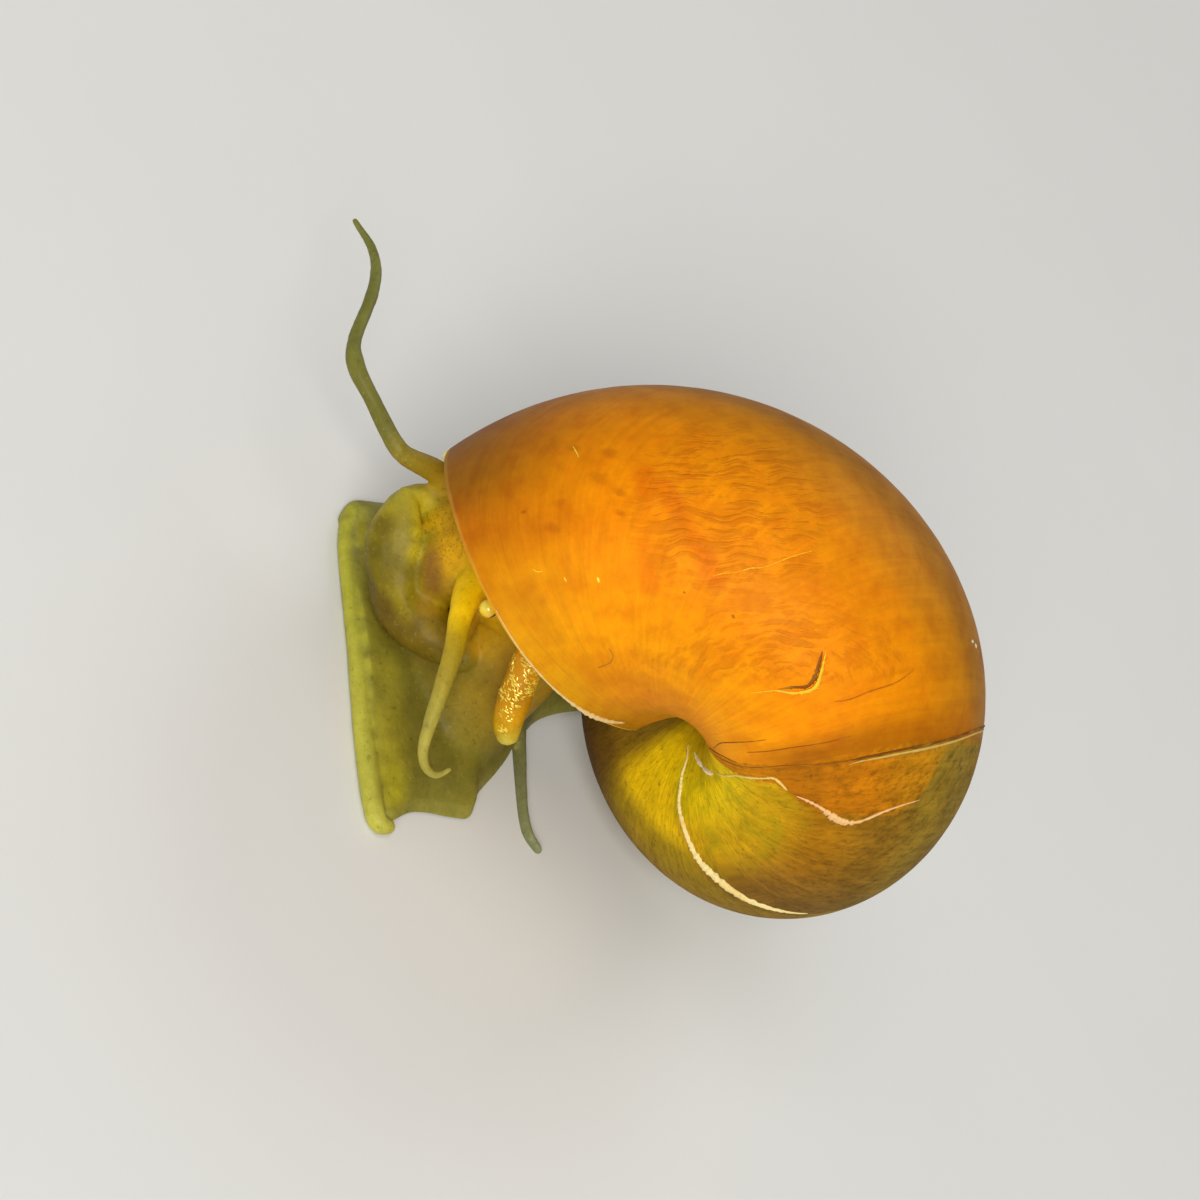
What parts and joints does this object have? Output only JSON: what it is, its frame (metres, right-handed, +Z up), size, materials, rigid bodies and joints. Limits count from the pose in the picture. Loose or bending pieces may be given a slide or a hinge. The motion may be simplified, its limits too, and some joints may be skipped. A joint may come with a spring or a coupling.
{
  "type": "apple snail",
  "caption": "Life-size apple snail, creeping with head, tentacles, siphon and broad foot out of its round spiral shell, the horny lid on its tail",
  "frame": {"origin": "On the flat sole of the foot, right under the middle of the shell's mouth", "axes": "+Z up, normal to the sole; the snail faces -Y and its left side is +X"},
  "size_m": [0.0575, 0.0489, 0.0408],
  "materials": {
    "shell": "glossy amber orange shell, olive and brown on the older whorls",
    "operculum": "satin dark brown horn with growth rings",
    "foot": "wet, thin, tan to olive flesh with a yellow front edge",
    "skin": "wet yellow flesh with olive shade and fine dark specks",
    "snout": "wet pinkish brown flesh",
    "siphon": "wet amber flesh with gold flecks",
    "eye": "glossy amber with a small dark pupil"
  },
  "bodies": {
    "root": {"shell": "shell", "foot_front": "foot", "foot_middle": "foot", "foot_tail": "foot", "body": "skin", "head": "skin", "snout": "snout", "mantle": "skin", "tentacle_left_base": "skin", "tentacle_left_middle": "skin", "tentacle_left_tip": "skin", "tentacle_right_base": "skin", "tentacle_right_middle": "skin", "tentacle_right_tip": "skin", "eye_stalk_left": "skin", "eye_stalk_right": "skin", "eye_left": "eye", "eye_right": "eye", "palp_right": "skin", "palp_left": "skin", "siphon": "siphon", "nuchal_lobe_right": "skin", "operculum": "operculum"}
  },
  "joints": []
}
